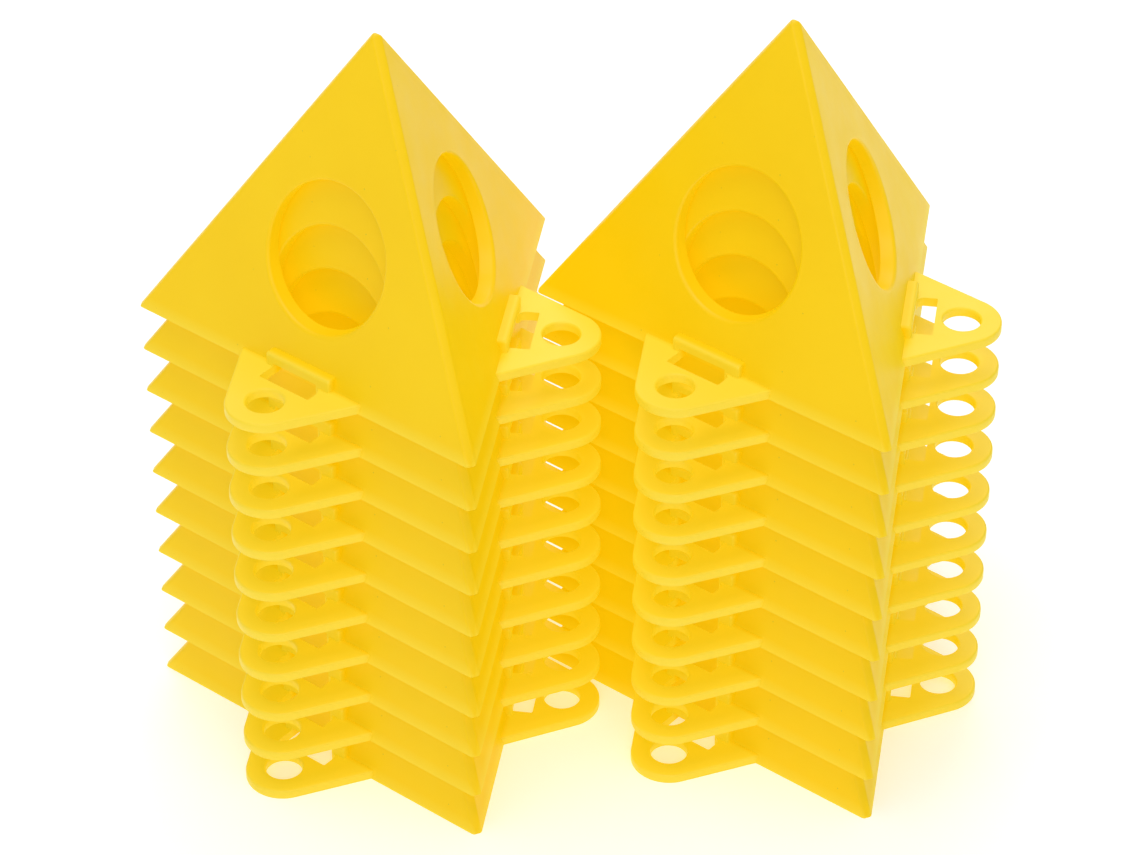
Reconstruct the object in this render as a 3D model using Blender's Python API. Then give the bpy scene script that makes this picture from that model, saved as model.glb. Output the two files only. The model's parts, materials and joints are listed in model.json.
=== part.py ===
"""A set of twenty painter's pyramids: three-sided paint stands, nested in two stacks of ten.

Each stand is one moulding: a hollow three-sided pyramid, open below, with a round window in each
face, and on each base edge a flat ear with a screw hole, a slot and a catch bar over the slot.
Metres, +Z up. The set's origin is the bottom centre of its bounding box, and the row of two
stacks runs along X.
"""
import math

import bmesh
import bpy
from mathutils import Matrix, Vector

MM = 0.001

# Driving dimensions
BASE_EDGE = 55.0 * MM          # edge of the base triangle, before its corners are rounded
HEIGHT = 43.8 * MM             # apex above the rim, before the apex is rounded
WALL = 1.9 * MM                # wall thickness, square to a face
NEST_GAP = 0.3 * MM            # clearance between two nested walls, square to a face
RIDGE_RADIUS = 1.0 * MM        # rounding of the three ridges and the apex
RIDGE_SEGMENTS = 2
STANDS_PER_STACK = 10
FACES = 3                      # faces, windows and ears on one stand

WINDOW_RADIUS = 8.9 * MM
WINDOW_HEIGHT = 15.5 * MM      # window axis above the rim
WINDOW_SIDES = 20

EAR_THICKNESS = 1.25 * MM
EAR_ROOT_WIDTH = 18.7 * MM     # ear width where it meets its face
EAR_TIP_RADIUS = 4.9 * MM
EAR_TIP_SEGMENTS = 6
HOLE_REACH = 6.1 * MM          # screw hole's centre beyond the base edge
HOLE_RADIUS = 2.35 * MM
HOLE_SEGMENTS = 12

SLOT_LENGTH = 7.8 * MM
SLOT_OUTER_REACH = 2.8 * MM    # outer end of the slot beyond the base edge
SLOT_INNER_REACH = -1.1 * MM   # inner end, under the catch bar and inside the base edge
SLOT_RISE = 0.45 * MM          # height of the slot's pocket above the ear, under the catch bar

BAR_LENGTH = 10.1 * MM
BAR_REACH = 0.3 * MM           # front of the catch bar beyond the base edge
BAR_RISE = 1.7 * MM            # top of the catch bar above the ear
BAR_EDGE_CUT = 0.4 * MM        # chamfer along the bar's upper front edge

STACK_CLEARANCE = 1.1 * MM     # least gap between the two stacks

# Worked out from the driving dimensions
BASE_INRADIUS = BASE_EDGE / (2 * math.sqrt(3))
BASE_CIRCUMRADIUS = 2 * BASE_INRADIUS
SLOPE = math.atan2(HEIGHT, BASE_INRADIUS)
NEST_PITCH = (WALL + NEST_GAP) / math.cos(SLOPE)
ROOT_ANCHOR = 0.8 * WALL              # how far an ear or a bar runs back into the wall
CUT_MARGIN = 5.0 * MM                 # how far a cutter runs past what it cuts
WELD_DISTANCE = 0.001 * MM
FLAT_ANGLE = math.radians(0.5)        # faces that meet within this angle count as one flat face
SHARP_ANGLE = math.radians(30)        # edges that turn more than this are shaded sharp
FACE_TURNS = [math.radians(turn) for turn in (-150, -30, 90)]   # outward direction of each face
RIGHT_FACE_TURN = FACE_TURNS[1]


def clear_scene():
    for thing in list(bpy.data.objects):
        bpy.data.objects.remove(thing)


def new_collection(name):
    collection = bpy.data.collections.new(name)
    bpy.context.scene.collection.children.link(collection)
    return collection


def plastic_material():
    material = bpy.data.materials.new("yellow_plastic")
    material.use_nodes = True
    shader = material.node_tree.nodes["Principled BSDF"]
    shader.inputs["Base Color"].default_value = (0.92, 0.62, 0.02, 1.0)
    shader.inputs["Roughness"].default_value = 0.42
    shader.inputs["Metallic"].default_value = 0.0
    return material


def object_from_bmesh(name, shape, collection):
    mesh = bpy.data.meshes.new(name)
    shape.to_mesh(mesh)
    shape.free()
    thing = bpy.data.objects.new(name, mesh)
    collection.objects.link(thing)
    return thing


def hide_cutter(cutter):
    cutter.hide_render = True
    cutter.display_type = 'WIRE'


def mesh_copy(source, name, collection):
    """Evaluate an object with its modifiers and keep the result as a new object in its place."""
    view = bpy.context.evaluated_depsgraph_get()
    mesh = bpy.data.meshes.new_from_object(source.evaluated_get(view))
    mesh.name = name
    copy = bpy.data.objects.new(name, mesh)
    copy.matrix_world = source.matrix_world
    collection.objects.link(copy)
    return copy


def pyramid_bmesh(inradius, bottom, top):
    """A three-sided pyramid with corners at -90, 30 and 150 degrees, seen from above."""
    depth = top - bottom
    middle = Matrix.Translation((0, 0, bottom + depth / 2))
    turn = Matrix.Rotation(math.pi, 4, 'Z')
    shape = bmesh.new()
    bmesh.ops.create_cone(shape, cap_ends=True, segments=FACES, radius1=2 * inradius, radius2=0.0,
                          depth=depth, matrix=middle @ turn)
    bmesh.ops.remove_doubles(shape, verts=shape.verts, dist=WELD_DISTANCE)
    return shape


def outer_body(collection):
    """The solid outer pyramid, with its ridges and apex rounded."""
    shape = pyramid_bmesh(BASE_INRADIUS, 0.0, HEIGHT)
    ridges = [edge for edge in shape.edges if max(vertex.co.z for vertex in edge.verts) > HEIGHT / 2]
    bmesh.ops.bevel(shape, geom=ridges, offset=RIDGE_RADIUS / math.tan(ridge_angle() / 2),
                    offset_type='OFFSET', segments=RIDGE_SEGMENTS, profile=0.5, affect='EDGES')
    return object_from_bmesh("stand_body", shape, collection)


def ridge_angle():
    """The angle inside the solid between two faces, along a ridge."""
    tilt = math.sin(SLOPE) ** 2 * math.cos(2 * math.pi / FACES) + math.cos(SLOPE) ** 2
    return math.pi - math.acos(tilt)


def hollow_cutter(collection):
    """The space inside the walls. It has the slopes of the outer pyramid and runs out below."""
    inner_inradius = BASE_INRADIUS - WALL / math.sin(SLOPE) + CUT_MARGIN / math.tan(SLOPE)
    inner_top = HEIGHT - WALL / math.cos(SLOPE)
    cutter = object_from_bmesh("hollow", pyramid_bmesh(inner_inradius, -CUT_MARGIN, inner_top), collection)
    hide_cutter(cutter)
    return cutter


def round_cutter(name, collection, radius, length, sides, place):
    """A cylinder along its own Z, moved to its place."""
    shape = bmesh.new()
    bmesh.ops.create_cone(shape, cap_ends=True, segments=sides, radius1=radius, radius2=radius,
                          depth=length, matrix=place)
    cutter = object_from_bmesh(name, shape, collection)
    hide_cutter(cutter)
    return cutter


def window_cutter(collection, turn):
    """A level cylinder through one face, from inside the hollow to well outside."""
    start = CUT_MARGIN / 2
    length = BASE_INRADIUS + CUT_MARGIN - start
    place = (Matrix.Rotation(turn, 4, 'Z') @ Matrix.Translation((start + length / 2, 0, WINDOW_HEIGHT))
             @ Matrix.Rotation(math.pi / 2, 4, 'Y'))
    return round_cutter("window", collection, WINDOW_RADIUS, length, WINDOW_SIDES, place)


def screw_hole_cutter(collection, turn):
    """An upright cylinder through an ear."""
    place = Matrix.Rotation(turn, 4, 'Z') @ Matrix.Translation((BASE_INRADIUS + HOLE_REACH, 0, 0))
    return round_cutter("screw_hole", collection, HOLE_RADIUS, 2 * CUT_MARGIN, HOLE_SEGMENTS, place)


def block(name, collection, turn, length, reach, rise):
    """A box on one face. reach is its span beyond the base edge and rise its span above the rim."""
    shape = bmesh.new()
    bmesh.ops.create_cube(shape, size=1.0)
    bmesh.ops.scale(shape, vec=(reach[1] - reach[0], length, rise[1] - rise[0]), verts=shape.verts)
    centre = (BASE_INRADIUS + sum(reach) / 2, 0, sum(rise) / 2)
    bmesh.ops.transform(shape, matrix=Matrix.Rotation(turn, 4, 'Z') @ Matrix.Translation(centre),
                        verts=shape.verts)
    return object_from_bmesh(name, shape, collection)


def slot_cutter(collection, turn):
    """The slot through an ear, with its shallow pocket under the catch bar."""
    cutter = block("slot", collection, turn, SLOT_LENGTH, (SLOT_INNER_REACH, SLOT_OUTER_REACH),
                   (-CUT_MARGIN, EAR_THICKNESS + SLOT_RISE))
    hide_cutter(cutter)
    return cutter


def catch_bar(collection, turn):
    """The bar across the slot's inner side. Its back runs into the wall and its base into the ear."""
    bar = block("catch_bar", collection, turn, BAR_LENGTH, (-ROOT_ANCHOR, BAR_REACH),
                (EAR_THICKNESS / 2, EAR_THICKNESS + BAR_RISE))
    shape = bmesh.new()
    shape.from_mesh(bar.data)
    top = EAR_THICKNESS + BAR_RISE
    outward = Vector((math.cos(turn), math.sin(turn), 0))
    front = BASE_INRADIUS + BAR_REACH
    edges = [edge for edge in shape.edges
             if all(abs(vertex.co.z - top) < WELD_DISTANCE
                    and abs(vertex.co.dot(outward) - front) < WELD_DISTANCE for vertex in edge.verts)]
    bmesh.ops.bevel(shape, geom=edges, offset=BAR_EDGE_CUT, offset_type='OFFSET', segments=1,
                    profile=0.5, affect='EDGES')
    shape.to_mesh(bar.data)
    shape.free()
    return bar


def arc(centre, radius, start, end, segments):
    """Points along an arc in the XY plane, both ends included."""
    step = (end - start) / segments
    return [(centre[0] + radius * math.cos(start + step * index),
             centre[1] + radius * math.sin(start + step * index)) for index in range(segments + 1)]


def ear_outline():
    """An ear seen from above, pointing along X: a round tip and two straight edges to its root."""
    half_root = EAR_ROOT_WIDTH / 2
    tip = (BASE_INRADIUS + HOLE_REACH, 0.0)
    spread = math.hypot(HOLE_REACH, half_root)
    tip_end = math.pi - math.atan2(half_root, HOLE_REACH) - math.acos(EAR_TIP_RADIUS / spread)
    half_back = half_root + ROOT_ANCHOR / math.tan(tip_end)
    back = BASE_INRADIUS - ROOT_ANCHOR
    return (arc(tip, EAR_TIP_RADIUS, -tip_end, tip_end, EAR_TIP_SEGMENTS)
            + [(back, half_back), (back, -half_back)])


def ear(collection, turn):
    """A flat ear, lying on the rim's plane. Its holes are cut later."""
    curve = bpy.data.curves.new("ear_outline", 'CURVE')
    curve.dimensions = '2D'
    curve.fill_mode = 'BOTH'
    curve.extrude = EAR_THICKNESS / 2
    points = ear_outline()
    spline = curve.splines.new('POLY')
    spline.points.add(len(points) - 1)
    for point, (x, y) in zip(spline.points, points):
        point.co = (x, y, 0, 1)
    spline.use_cyclic_u = True
    outline = bpy.data.objects.new("ear_outline", curve)
    collection.objects.link(outline)
    outline.matrix_world = Matrix.Rotation(turn, 4, 'Z') @ Matrix.Translation((0, 0, EAR_THICKNESS / 2))
    bpy.context.view_layer.update()
    solid = mesh_copy(outline, "ear", collection)
    bpy.data.objects.remove(outline)
    weld(solid.data)
    return solid


def weld(mesh):
    """Join points that lie together, and make each flat region as few faces as it needs."""
    shape = bmesh.new()
    shape.from_mesh(mesh)
    bmesh.ops.remove_doubles(shape, verts=shape.verts, dist=WELD_DISTANCE)
    bmesh.ops.dissolve_limit(shape, angle_limit=FLAT_ANGLE, verts=shape.verts, edges=shape.edges)
    shape.to_mesh(mesh)
    shape.free()


def add_boolean(target, operation, tool):
    boolean = target.modifiers.new(operation.lower() + "_" + tool.name, 'BOOLEAN')
    boolean.operation = operation
    boolean.object = tool
    boolean.solver = 'EXACT'


def stand_mesh(cutters):
    """One whole stand about its own axis, with its rim at height zero."""
    body = outer_body(cutters)
    for turn in FACE_TURNS:
        for added in (ear(cutters, turn), catch_bar(cutters, turn)):
            hide_cutter(added)
            add_boolean(body, 'UNION', added)
    add_boolean(body, 'DIFFERENCE', hollow_cutter(cutters))
    for turn in FACE_TURNS:
        add_boolean(body, 'DIFFERENCE', window_cutter(cutters, turn))
        add_boolean(body, 'DIFFERENCE', slot_cutter(cutters, turn))
        add_boolean(body, 'DIFFERENCE', screw_hole_cutter(cutters, turn))
    hide_cutter(body)
    bpy.context.view_layer.update()
    view = bpy.context.evaluated_depsgraph_get()
    mesh = bpy.data.meshes.new_from_object(body.evaluated_get(view))
    mesh.name = "stand"
    weld(mesh)
    mesh.materials.clear()
    mesh.materials.append(plastic_material())
    mesh.shade_smooth()
    mesh.set_sharp_from_angle(angle=SHARP_ANGLE)
    return mesh


def stack_offset():
    """From the left stack's axis to the right one's. The right stack's corner lies beside an ear."""
    outward = Vector((math.cos(RIGHT_FACE_TURN), math.sin(RIGHT_FACE_TURN), 0))
    along = Vector((-outward.y, outward.x, 0))
    return (outward * (BASE_INRADIUS + BASE_CIRCUMRADIUS + STACK_CLEARANCE / 2)
            + along * (EAR_ROOT_WIDTH / 2 + STACK_CLEARANCE))


def new_empty(name, parent, location, turn, collection):
    empty = bpy.data.objects.new(name, None)
    empty.parent = parent
    empty.location = location
    empty.rotation_euler = (0, 0, turn)
    collection.objects.link(empty)
    return empty


def centre_on_origin(root, stands):
    """Move the set so that the middle of its bounding box is above the origin."""
    bpy.context.view_layer.update()
    corners = [stand.matrix_world @ vertex.co for stand in stands for vertex in stand.data.vertices]
    for axis in range(2):
        values = [corner[axis] for corner in corners]
        root.location[axis] = -(min(values) + max(values)) / 2
    bpy.context.view_layer.update()


def build_set():
    clear_scene()
    parts = new_collection("painters_pyramid_set")
    cutters = new_collection("cutters")
    mesh = stand_mesh(cutters)
    offset = stack_offset()
    row_turn = -math.atan2(offset.y, offset.x)
    root = new_empty("set", None, (0, 0, 0), row_turn, parts)
    stands = []
    for side, place in (("left", Vector((0, 0, 0))), ("right", offset)):
        stack = new_empty(side + "_stack", root, place, 0.0, parts)
        for level in range(STANDS_PER_STACK):
            stand = bpy.data.objects.new(f"{side}_stack_stand_{level + 1:02d}", mesh)
            stand.parent = stack
            stand.location = (0, 0, level * NEST_PITCH)
            parts.objects.link(stand)
            stands.append(stand)
    centre_on_origin(root, stands)


build_set()
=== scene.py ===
import json
import math

import bmesh
import bpy
from mathutils import Matrix, Vector


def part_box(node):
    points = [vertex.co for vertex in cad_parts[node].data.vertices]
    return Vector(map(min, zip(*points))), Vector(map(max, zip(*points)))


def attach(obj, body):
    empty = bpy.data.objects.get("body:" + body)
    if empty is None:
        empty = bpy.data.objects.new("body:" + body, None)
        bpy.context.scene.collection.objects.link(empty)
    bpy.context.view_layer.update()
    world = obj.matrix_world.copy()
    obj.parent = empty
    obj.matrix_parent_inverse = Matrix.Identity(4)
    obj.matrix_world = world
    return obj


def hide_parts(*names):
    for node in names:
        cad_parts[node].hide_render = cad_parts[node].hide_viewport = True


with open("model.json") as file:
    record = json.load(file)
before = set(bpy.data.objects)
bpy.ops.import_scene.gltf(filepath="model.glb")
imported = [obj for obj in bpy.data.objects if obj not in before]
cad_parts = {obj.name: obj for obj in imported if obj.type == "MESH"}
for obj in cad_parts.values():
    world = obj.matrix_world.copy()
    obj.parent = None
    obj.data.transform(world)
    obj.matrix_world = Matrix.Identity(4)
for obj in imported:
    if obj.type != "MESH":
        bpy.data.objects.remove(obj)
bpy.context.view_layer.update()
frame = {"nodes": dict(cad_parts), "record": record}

MM = 0.001

# The stand, as in the CAD model
BASE_EDGE = 55.0 * MM
HEIGHT = 43.8 * MM
WALL = 1.9 * MM
FACES = 3
WINDOW_RADIUS = 8.9 * MM
WINDOW_HEIGHT = 15.5 * MM
EAR_THICKNESS = 1.25 * MM
EAR_ROOT_WIDTH = 18.7 * MM
EAR_TIP_RADIUS = 4.9 * MM
HOLE_REACH = 6.1 * MM
HOLE_RADIUS = 2.35 * MM
SLOT_LENGTH = 7.8 * MM
SLOT_OUTER_REACH = 2.8 * MM
SLOT_INNER_REACH = -1.1 * MM
SLOT_RISE = 0.45 * MM
BAR_LENGTH = 10.1 * MM
BAR_REACH = 0.3 * MM
BAR_RISE = 1.7 * MM
STACK_CLEARANCE = 1.1 * MM

# Roundings that only the fine mesh has. Each pair is how far it reaches and its number of segments.
RIDGE_FLAT = 1.14 * MM           # width of the narrow flat along each ridge
RIDGE_SIDES = (0.24 * MM, 2)
INNER_RIDGE_RADIUS = 0.5 * MM
INNER_RIDGE_SEGMENTS = 5
RIM = (0.12 * MM, 3)
WINDOW_OUTER_LIP = (0.45 * MM, 5)
WINDOW_INNER_LIP = (0.15 * MM, 3)
EAR_TOP = (0.28 * MM, 4)
EAR_BOTTOM = (0.10 * MM, 2)
HOLE_TOP = (0.28 * MM, 4)
HOLE_BOTTOM = (0.10 * MM, 2)
BAR_FRONT = (0.45 * MM, 6)
BAR_END = (0.30 * MM, 4)
SLOT_CORNER = 0.2 * MM
SLOT_BAR_CORNER = 0.9 * MM       # the slot's one large corner, beside the catch bar
SLOT_CORNER_SEGMENTS = 8
WINDOW_SIDES = 96
EAR_TIP_SEGMENTS = 40
HOLE_SIDES = 56

# The plastic. Colours are linear red, green and blue, and scales are features per metre.
WALL_COLOURS = ((0.72, 0.35, 0.003), (0.75, 0.385, 0.005))
# Painted light: the ear plates and catch bars are paler, standing in for light that shines through their thin
# plastic and reaches them between the levels.
EAR_PAINTED_LIGHT_COLOUR = (0.74, 0.465, 0.048)
EAR_PAINTED_LIGHT_FADE = (-0.6 * MM, 0.2 * MM)  # where the painted light on the ear plates and bars starts and is complete, past the base edge
SPECK_COLOUR = (0.5, 0.28, 0.02)
SPECK_SCALE = 330.0
SPECK_RADII = (0.025, 0.04)      # a speck's solid middle and its outer edge, in cells
ROUGHNESSES = (0.38, 0.5)
SPECULAR = 0.25
GLOW_COLOUR = (0.96, 0.98, 0.0)
GLOW_STRENGTH = 0.285
COLOUR_NOISE = (60.0, 3.0)       # each noise is its scale and its detail
ROUGHNESS_NOISE = (220.0, 3.0)
WAVE_NOISE = (120.0, 2.0)
WAVE_BUMP = (0.5, 0.05 * MM)     # each bump is its strength and its height
GRAIN_NOISE = (3200.0, 4.0)
GRAIN_BUMP = (0.3, 0.015 * MM)
NOISE_RANGE = (0.3, 0.7)         # the part of a noise that a ramp spreads over its two ends

# The studio
FLOOR_REACH = 4.0
FLOOR_WHITE = 0.96
FLOOR_ROUGHNESS = 0.9
FLOOR_SPECULAR = 0.1
FLOOR_GLOW = 0.24
SKY_STRENGTH = 0.34
LIGHT_AIM = (0, 0, 0.05)
LIGHTS = (("overhead", (-0.1, -0.1, 1.15), 0.9, 5.4),       # name, place, diameter and watts
          ("back_light", (0.05, 0.95, 0.75), 0.9, 4.0),
          ("front_fill", (0.0, -1.0, 0.72), 0.9, 3.2))
WHITE = (1.0, 1.0, 1.0)
BLACK = (0.0, 0.0, 0.0)

# The camera, turned from straight in front and raised
CAMERA_AZIMUTH = math.radians(-3.5)
CAMERA_ELEVATION = math.radians(36.88)
CAMERA_LENS = 135.3
CAMERA_SENSOR = 36.0
CAMERA_DISTANCE = 536.0 * MM
CAMERA_NEAR = 0.01
AIM_HEIGHT = 42.8 * MM

# Worked out from the dimensions
BASE_INRADIUS = BASE_EDGE / (2 * math.sqrt(3))
SLOPE = math.atan2(HEIGHT, BASE_INRADIUS)
INNER_INRADIUS = BASE_INRADIUS - WALL / math.sin(SLOPE)
INNER_HEIGHT = HEIGHT - WALL / math.cos(SLOPE)
ROOT_ANCHOR = 0.8 * WALL
FACE_TURNS = [math.radians(turn) for turn in (-150, -30, 90)]
ROW_TURN = math.pi / 6 - math.atan2(EAR_ROOT_WIDTH / 2 + STACK_CLEARANCE,
                                    3 * BASE_INRADIUS + STACK_CLEARANCE / 2)

# Margins and tolerances
CUT_MARGIN = 5.0 * MM
WELD_DISTANCE = 0.0005 * MM
ON_SURFACE = 0.01 * MM           # a point this near a surface lies on it
ON_WINDOW = 0.05 * MM            # and this near a window's round wall, whose sides are flat facets
SHARP_ANGLE = math.radians(38)


def new_object(name, shape):
    """Turn a bmesh into an object in the scene. The bmesh is used up."""
    mesh = bpy.data.meshes.new(name)
    shape.to_mesh(mesh)
    shape.free()
    thing = bpy.data.objects.new(name, mesh)
    bpy.context.scene.collection.objects.link(thing)
    return thing


def remove(thing):
    bpy.data.objects.remove(thing)


def ridge_angle():
    """The angle inside the solid between two faces, along a ridge."""
    tilt = math.sin(SLOPE) ** 2 * math.cos(2 * math.pi / FACES) + math.cos(SLOPE) ** 2
    return math.pi - math.acos(tilt)


def pyramid(inradius, bottom, top):
    """A sharp three-sided pyramid with corners at -90, 30 and 150 degrees."""
    depth = top - bottom
    shape = bmesh.new()
    middle = Matrix.Translation((0, 0, bottom + depth / 2))
    bmesh.ops.create_cone(shape, cap_ends=True, segments=FACES, radius1=2 * inradius, radius2=0.0,
                          depth=depth, matrix=middle @ Matrix.Rotation(math.pi, 4, 'Z'))
    bmesh.ops.remove_doubles(shape, verts=shape.verts, dist=WELD_DISTANCE)
    return shape


def upper_edges(shape, level):
    """The edges that reach above a level."""
    return [edge for edge in shape.edges if max(vertex.co.z for vertex in edge.verts) > level]


def round_edges(shape, edges, offset, segments):
    """Bevel edges. The offset is how far each new edge lies from the old one."""
    bmesh.ops.bevel(shape, geom=edges, offset=offset, offset_type='OFFSET', segments=segments,
                    profile=0.5, affect='EDGES', clamp_overlap=False)


def edges_where(shape, test):
    """The edges whose two ends both pass a test on their position."""
    return [edge for edge in shape.edges if all(test(vertex.co) for vertex in edge.verts)]


def outer_body():
    """The solid outer pyramid. Each ridge is a narrow flat with soft sides, and the rim has a fine radius."""
    shape = pyramid(BASE_INRADIUS, 0.0, HEIGHT)
    round_edges(shape, upper_edges(shape, HEIGHT / 2), RIDGE_FLAT / (2 * math.sin(ridge_angle() / 2)), 1)
    round_edges(shape, upper_edges(shape, HEIGHT / 2), *RIDGE_SIDES)
    round_edges(shape, edges_where(shape, lambda place: abs(place.z) < ON_SURFACE), *RIM)
    return new_object("body", shape)


def hollow():
    """The space inside the walls. It has the slopes of the outer pyramid and runs out below."""
    shape = pyramid(INNER_INRADIUS + CUT_MARGIN / math.tan(SLOPE), -CUT_MARGIN, INNER_HEIGHT)
    reach = INNER_RIDGE_RADIUS / math.tan(ridge_angle() / 2)
    round_edges(shape, upper_edges(shape, INNER_HEIGHT / 2), reach, INNER_RIDGE_SEGMENTS)
    return new_object("hollow", shape)


def cylinder(name, radius, length, sides, place):
    shape = bmesh.new()
    bmesh.ops.create_cone(shape, cap_ends=True, segments=sides, radius1=radius, radius2=radius,
                          depth=length, matrix=place)
    return new_object(name, shape)


def on_face(turn, reach=0.0, rise=0.0):
    """A place on one face's centre line, reach beyond the base edge and rise above the rim."""
    return Matrix.Rotation(turn, 4, 'Z') @ Matrix.Translation((BASE_INRADIUS + reach, 0, rise))


def window(turn):
    """A level cylinder that cuts one face's window and stops short of the axis."""
    start = CUT_MARGIN / 2
    length = BASE_INRADIUS + CUT_MARGIN - start
    level = Matrix.Rotation(math.pi / 2, 4, 'Y')
    place = on_face(turn, start + length / 2 - BASE_INRADIUS, WINDOW_HEIGHT) @ level
    return cylinder("window", WINDOW_RADIUS, length, WINDOW_SIDES, place)


def arc(centre, radius, start, end, segments):
    """Points along an arc in the XY plane, both ends included."""
    step = (end - start) / segments
    return [(centre[0] + radius * math.cos(start + step * index),
             centre[1] + radius * math.sin(start + step * index)) for index in range(segments + 1)]


def prism(outline, bottom, top):
    """A flat outline made into an upright solid."""
    shape = bmesh.new()
    base = shape.faces.new([shape.verts.new((x, y, bottom)) for x, y in outline])
    raised = bmesh.ops.extrude_face_region(shape, geom=[base])
    upper = [item for item in raised['geom'] if isinstance(item, bmesh.types.BMVert)]
    bmesh.ops.translate(shape, verts=upper, vec=(0, 0, top - bottom))
    bmesh.ops.recalc_face_normals(shape, faces=shape.faces)
    return shape


def ear_outline():
    """An ear seen from above, pointing along X from the base edge."""
    half_root = EAR_ROOT_WIDTH / 2
    spread = math.hypot(HOLE_REACH, half_root)
    tip_end = math.pi - math.atan2(half_root, HOLE_REACH) - math.acos(EAR_TIP_RADIUS / spread)
    half_back = half_root + ROOT_ANCHOR / math.tan(tip_end)
    tip = arc((HOLE_REACH, 0), EAR_TIP_RADIUS, -tip_end, tip_end, EAR_TIP_SEGMENTS)
    return tip + [(-ROOT_ANCHOR, half_back), (-ROOT_ANCHOR, -half_back)]


def ear_plate():
    """The ear's plate with its rounded edges, about the middle of the base edge."""
    shape = prism(ear_outline(), 0.0, EAR_THICKNESS)
    front = -ROOT_ANCHOR + ON_SURFACE
    for level, rounding in ((EAR_THICKNESS, EAR_TOP), (0.0, EAR_BOTTOM)):
        edges = [edge for edge in edges_where(shape, lambda place: abs(place.z - level) < ON_SURFACE)
                 if max(vertex.co.x for vertex in edge.verts) > front]
        round_edges(shape, edges, *rounding)
    return new_object("ear", shape)


def round_hole(ear):
    """Cut the screw hole through the ear and round its two lips."""
    drill = cylinder("drill", HOLE_RADIUS, 2 * CUT_MARGIN, HOLE_SIDES, Matrix.Translation((HOLE_REACH, 0, 0)))
    combine(ear, 'DIFFERENCE', [drill])
    shape = bmesh.new()
    shape.from_mesh(ear.data)

    def on_hole(place, level):
        wide = math.hypot(place.x - HOLE_REACH, place.y) - HOLE_RADIUS
        return abs(wide) < ON_SURFACE and abs(place.z - level) < ON_SURFACE

    for level, rounding in ((EAR_THICKNESS, HOLE_TOP), (0.0, HOLE_BOTTOM)):
        round_edges(shape, edges_where(shape, lambda place: on_hole(place, level)), *rounding)
    shape.to_mesh(ear.data)
    shape.free()


def box_shape(reach, width, rise):
    """A box between two reaches and two rises, centred on the face's middle."""
    shape = bmesh.new()
    bmesh.ops.create_cube(shape, size=1.0)
    bmesh.ops.scale(shape, vec=(reach[1] - reach[0], width, rise[1] - rise[0]), verts=shape.verts)
    bmesh.ops.translate(shape, vec=(sum(reach) / 2, 0, sum(rise) / 2), verts=shape.verts)
    return shape


def slot_outline():
    """The slot seen from above. Its far inner corner, beside the bar, has a large radius."""
    half = SLOT_LENGTH / 2
    quarter = math.pi / 2
    small = SLOT_CORNER
    large = SLOT_BAR_CORNER
    steps = SLOT_CORNER_SEGMENTS
    outer = (arc((SLOT_OUTER_REACH - small, small - half), small, -quarter, 0, steps)
             + arc((SLOT_OUTER_REACH - small, half - small), small, 0, quarter, steps))
    beside_bar = arc((BAR_REACH + large, half - large), large, quarter, math.pi, steps)
    return [(SLOT_INNER_REACH, -half)] + outer + beside_bar + [(SLOT_INNER_REACH, half - large)]


def slot_tool():
    """The slot through an ear, with its pocket under the bar."""
    return new_object("slot", prism(slot_outline(), -CUT_MARGIN, EAR_THICKNESS + SLOT_RISE))


def catch_bar():
    """The bar over the slot's inner side, rounded along its top front edge and round its ends."""
    top = EAR_THICKNESS + BAR_RISE
    shape = box_shape((-ROOT_ANCHOR, BAR_REACH), BAR_LENGTH, (EAR_THICKNESS / 2, top))
    front = edges_where(shape, lambda place: place.x > BAR_REACH - ON_SURFACE and place.z > top - ON_SURFACE)
    round_edges(shape, front, *BAR_FRONT)
    for side in (-1, 1):
        end = side * BAR_LENGTH / 2
        rim = [edge for edge in edges_where(shape, lambda place: abs(place.y - end) < ON_SURFACE)
               if max(vertex.co.z for vertex in edge.verts) > EAR_THICKNESS
               and max(vertex.co.x for vertex in edge.verts) > -ROOT_ANCHOR + ON_SURFACE]
        round_edges(shape, rim, *BAR_END)
    return new_object("bar", shape)


def combine(target, operation, tools):
    """Join tools to a target, or cut them from it, and keep the result in the target's mesh."""
    for tool in tools:
        boolean = target.modifiers.new(tool.name, 'BOOLEAN')
        boolean.operation = operation
        boolean.object = tool
        boolean.solver = 'EXACT'
    apply_modifiers(target)
    for tool in tools:
        remove(tool)


def apply_modifiers(thing):
    """Keep what the modifiers make as the object's own mesh."""
    bpy.context.view_layer.update()
    view = bpy.context.evaluated_depsgraph_get()
    mesh = bpy.data.meshes.new_from_object(thing.evaluated_get(view))
    thing.modifiers.clear()
    thing.data = mesh


def copies(thing):
    """One copy of a thing on each face. The thing itself is used up."""
    made = []
    for turn in FACE_TURNS:
        copy = bpy.data.objects.new(thing.name, thing.data)
        bpy.context.scene.collection.objects.link(copy)
        copy.matrix_world = on_face(turn)
        made.append(copy)
    remove(thing)
    return made


def inner_distance(place, turn):
    """How far a point lies inside a face's plane, square to it."""
    across = place.x * math.cos(turn) + place.y * math.sin(turn)
    return (BASE_INRADIUS - across) * math.sin(SLOPE) - place.z * math.cos(SLOPE)


def on_window(place, turn, depth):
    """Whether a point lies on a window's edge, at a depth inside its face."""
    sideways = place.y * math.cos(turn) - place.x * math.sin(turn)
    wide = math.hypot(sideways, place.z - WINDOW_HEIGHT) - WINDOW_RADIUS
    return abs(wide) < ON_WINDOW and abs(inner_distance(place, turn) - depth) < ON_SURFACE


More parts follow.
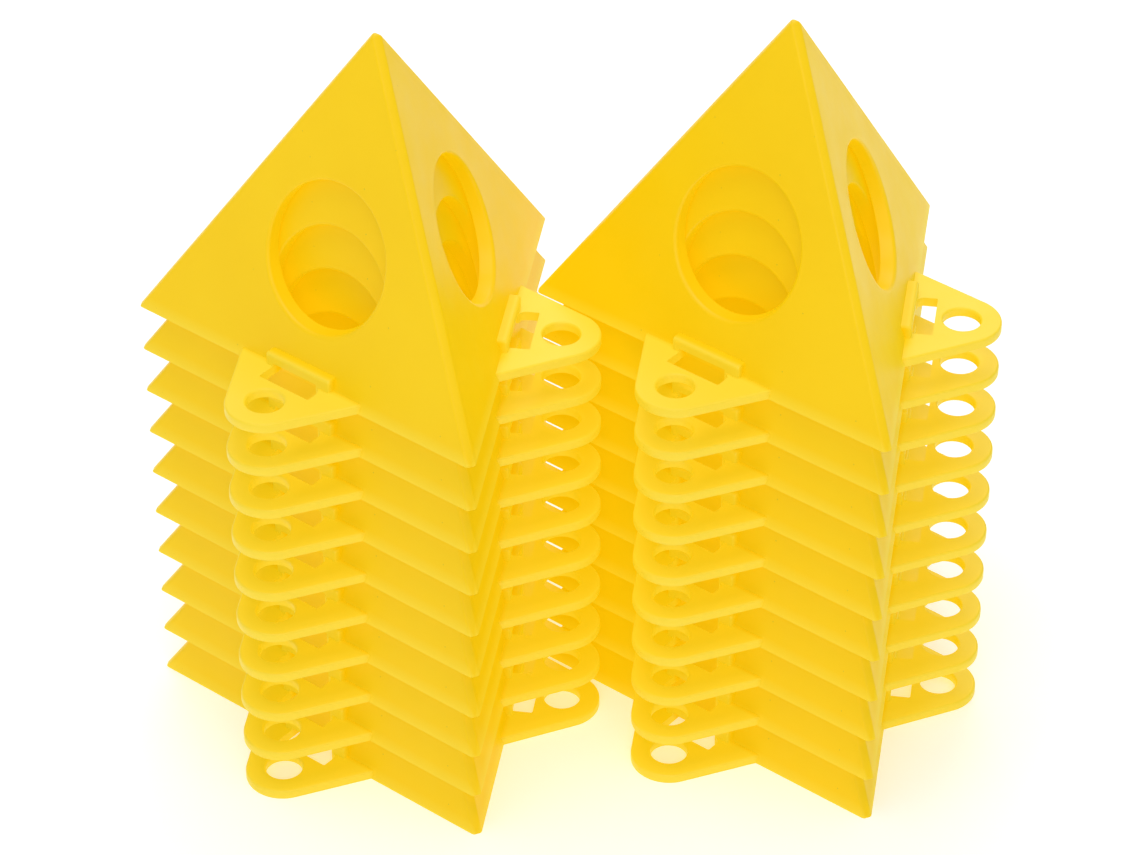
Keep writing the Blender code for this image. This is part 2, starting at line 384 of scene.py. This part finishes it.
def soften_lips(stand):
    """Round the windows' outer and inner lips."""
    shape = bmesh.new()
    shape.from_mesh(stand.data)
    bmesh.ops.remove_doubles(shape, verts=shape.verts, dist=WELD_DISTANCE)
    for turn in FACE_TURNS:
        outer = edges_where(shape, lambda place: on_window(place, turn, 0.0))
        round_edges(shape, outer, *WINDOW_OUTER_LIP)
        inner = edges_where(shape, lambda place: on_window(place, turn, WALL))
        round_edges(shape, inner, *WINDOW_INNER_LIP)
    shape.to_mesh(stand.data)
    shape.free()


def stand_mesh():
    """One whole stand about its own axis, with its rim at height zero."""
    ear = ear_plate()
    round_hole(ear)
    stand = outer_body()
    combine(stand, 'UNION', copies(ear) + copies(catch_bar()))
    combine(stand, 'DIFFERENCE', [hollow()])
    combine(stand, 'DIFFERENCE', [window(turn) for turn in FACE_TURNS] + copies(slot_tool()))
    soften_lips(stand)
    stand.data.shade_smooth()
    stand.data.set_sharp_from_angle(angle=SHARP_ANGLE)
    normals = stand.modifiers.new("normals", 'WEIGHTED_NORMAL')
    normals.keep_sharp = True
    apply_modifiers(stand)
    mesh = stand.data
    mesh.name = "stand"
    mesh.transform(Matrix.Rotation(ROW_TURN, 4, 'Z'))
    remove(stand)
    return mesh


def noise(nodes, links, place, scale, detail):
    """The strength of a noise texture in the stand's own coordinates."""
    texture = nodes.new('ShaderNodeTexNoise')
    texture.inputs["Scale"].default_value = scale
    texture.inputs["Detail"].default_value = detail
    links.new(place.outputs["Object"], texture.inputs["Vector"])
    return texture.outputs["Fac"]


def ramp(nodes, links, source, positions, colours):
    """A colour ramp between two stops."""
    node = nodes.new('ShaderNodeValToRGB')
    for element, position, colour in zip(node.color_ramp.elements, positions, colours):
        element.position = position
        element.color = (*colour, 1.0)
    links.new(source, node.inputs["Fac"])
    return node.outputs["Color"]


def colour_mix(nodes, links, factor, base, colour):
    """Mix a fixed colour over a base colour."""
    mix = nodes.new('ShaderNodeMix')
    mix.data_type = 'RGBA'
    mix.inputs["B"].default_value = (*colour, 1.0)
    links.new(factor, mix.inputs["Factor"])
    links.new(base, mix.inputs["A"])
    return mix.outputs["Result"]


def ear_painted_light_mask(nodes, links, place):
    """One where the ear plates and bars get their paler colour of painted light, and zero on the walls."""
    reaches = []
    for turn in FACE_TURNS:
        along = nodes.new('ShaderNodeVectorMath')
        along.operation = 'DOT_PRODUCT'
        along.inputs[1].default_value = (math.cos(turn + ROW_TURN), math.sin(turn + ROW_TURN), 0.0)
        links.new(place.outputs["Object"], along.inputs[0])
        reaches.append(along.outputs["Value"])
    farthest = reaches[0]
    for reach in reaches[1:]:
        larger = nodes.new('ShaderNodeMath')
        larger.operation = 'MAXIMUM'
        links.new(farthest, larger.inputs[0])
        links.new(reach, larger.inputs[1])
        farthest = larger.outputs["Value"]
    fade = nodes.new('ShaderNodeMapRange')
    fade.inputs["From Min"].default_value = BASE_INRADIUS + EAR_PAINTED_LIGHT_FADE[0]
    fade.inputs["From Max"].default_value = BASE_INRADIUS + EAR_PAINTED_LIGHT_FADE[1]
    links.new(farthest, fade.inputs["Value"])
    return fade.outputs["Result"]


def speck_mask(nodes, links, place):
    """One on tiny sparse specks of dust."""
    cells = nodes.new('ShaderNodeTexVoronoi')
    cells.inputs["Scale"].default_value = SPECK_SCALE
    links.new(place.outputs["Object"], cells.inputs["Vector"])
    return ramp(nodes, links, cells.outputs["Distance"], SPECK_RADII, (WHITE, BLACK))


def bump(nodes, links, height, strength, distance):
    """A bump node that follows a height."""
    node = nodes.new('ShaderNodeBump')
    node.inputs["Strength"].default_value = strength
    node.inputs["Distance"].default_value = distance
    links.new(height, node.inputs["Height"])
    return node


def mould_texture(nodes, links, place):
    """The fine grain of the mould over the slow waves of a cooled moulding."""
    waves = bump(nodes, links, noise(nodes, links, place, *WAVE_NOISE), *WAVE_BUMP)
    grain = bump(nodes, links, noise(nodes, links, place, *GRAIN_NOISE), *GRAIN_BUMP)
    links.new(waves.outputs["Normal"], grain.inputs["Normal"])
    return grain.outputs["Normal"]


def plastic():
    """Satin yellow polypropylene. Its glow stands for light inside the translucent walls.

    The glow isn't faint. It was chosen for this studio's light, and it would show in the dark too.
    """
    material = bpy.data.materials.new("yellow_polypropylene")
    material.use_nodes = True
    nodes = material.node_tree.nodes
    links = material.node_tree.links
    shader = nodes["Principled BSDF"]
    shader.inputs["Specular IOR Level"].default_value = SPECULAR
    shader.inputs["Emission Color"].default_value = (*GLOW_COLOUR, 1.0)
    shader.inputs["Emission Strength"].default_value = GLOW_STRENGTH
    place = nodes.new('ShaderNodeTexCoord')
    walls = ramp(nodes, links, noise(nodes, links, place, *COLOUR_NOISE), NOISE_RANGE, WALL_COLOURS)
    # Painted light: the ear plates and bars get a paler colour, and the specks of dust then go over it.
    painted_light_ears = colour_mix(nodes, links, ear_painted_light_mask(nodes, links, place), walls, EAR_PAINTED_LIGHT_COLOUR)
    dust_and_painted_light = colour_mix(nodes, links, speck_mask(nodes, links, place), painted_light_ears, SPECK_COLOUR)
    links.new(dust_and_painted_light, shader.inputs["Base Color"])
    greys = [(roughness,) * 3 for roughness in ROUGHNESSES]
    sheen = ramp(nodes, links, noise(nodes, links, place, *ROUGHNESS_NOISE), NOISE_RANGE, greys)
    links.new(sheen, shader.inputs["Roughness"])
    links.new(mould_texture(nodes, links, place), shader.inputs["Normal"])
    return material


def stack_axis(side):
    """The middle of the three ear mounts under a stack is on the stack's axis."""
    points = [Vector(mount["pos_m"]) for mount in frame["record"]["mounts"]
              if mount["name"].startswith(side) and mount["name"].endswith("ear_underside")]
    return sum(points, Vector()) / len(points)


def make_stands():
    """Put one fine moulding on each CAD node."""
    mesh = stand_mesh()
    mesh.materials.clear()
    mesh.materials.append(plastic())
    axes = {side: stack_axis(side) for side in ("left", "right")}
    for node in frame["nodes"]:
        axis = axes[node.split("_")[0]]
        piece = bpy.data.objects.new(node + "_moulding", mesh)
        bpy.context.scene.collection.objects.link(piece)
        piece.location = (axis.x, axis.y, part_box(node)[0].z)
        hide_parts(node)
        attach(piece, node)


def make_floor():
    """A plain white floor. Its own light keeps it white around the stacks."""
    shape = bmesh.new()
    bmesh.ops.create_grid(shape, x_segments=1, y_segments=1, size=FLOOR_REACH)
    floor = new_object("floor", shape)
    material = bpy.data.materials.new("white_paper")
    material.use_nodes = True
    shader = material.node_tree.nodes["Principled BSDF"]
    shader.inputs["Base Color"].default_value = (FLOOR_WHITE, FLOOR_WHITE, FLOOR_WHITE, 1.0)
    shader.inputs["Roughness"].default_value = FLOOR_ROUGHNESS
    shader.inputs["Specular IOR Level"].default_value = FLOOR_SPECULAR
    shader.inputs["Emission Color"].default_value = (*WHITE, 1.0)
    shader.inputs["Emission Strength"].default_value = FLOOR_GLOW
    floor.data.materials.append(material)


def area_light(name, place, size, power):
    """A round soft light that faces the middle of the stacks."""
    data = bpy.data.lights.new(name, 'AREA')
    data.shape = 'DISK'
    data.size = size
    data.energy = power
    light = bpy.data.objects.new(name, data)
    bpy.context.scene.collection.objects.link(light)
    light.location = place
    light.rotation_euler = (Vector(LIGHT_AIM) - Vector(place)).to_track_quat('-Z', 'Y').to_euler()


def make_studio():
    """A dim white sky and the soft lights."""
    world = bpy.data.worlds.new("studio")
    world.use_nodes = True
    sky = world.node_tree.nodes["Background"]
    sky.inputs["Color"].default_value = (*WHITE, 1.0)
    sky.inputs["Strength"].default_value = SKY_STRENGTH
    bpy.context.scene.world = world
    for light in LIGHTS:
        area_light(*light)
    bpy.context.scene.view_settings.view_transform = 'Standard'


def make_camera():
    """A long lens that looks down at the two stacks from in front."""
    level = math.cos(CAMERA_ELEVATION)
    back = Vector((math.sin(CAMERA_AZIMUTH) * level, -math.cos(CAMERA_AZIMUTH) * level,
                   math.sin(CAMERA_ELEVATION)))
    data = bpy.data.cameras.new("camera")
    data.sensor_width = CAMERA_SENSOR
    data.lens = CAMERA_LENS
    data.clip_start = CAMERA_NEAR
    camera = bpy.data.objects.new("camera", data)
    bpy.context.scene.collection.objects.link(camera)
    camera.location = Vector((0.0, 0.0, AIM_HEIGHT)) + back * CAMERA_DISTANCE
    camera.rotation_euler = (-back).to_track_quat('-Z', 'Y').to_euler()
    bpy.context.scene.camera = camera


make_stands()
make_floor()
make_studio()
make_camera()
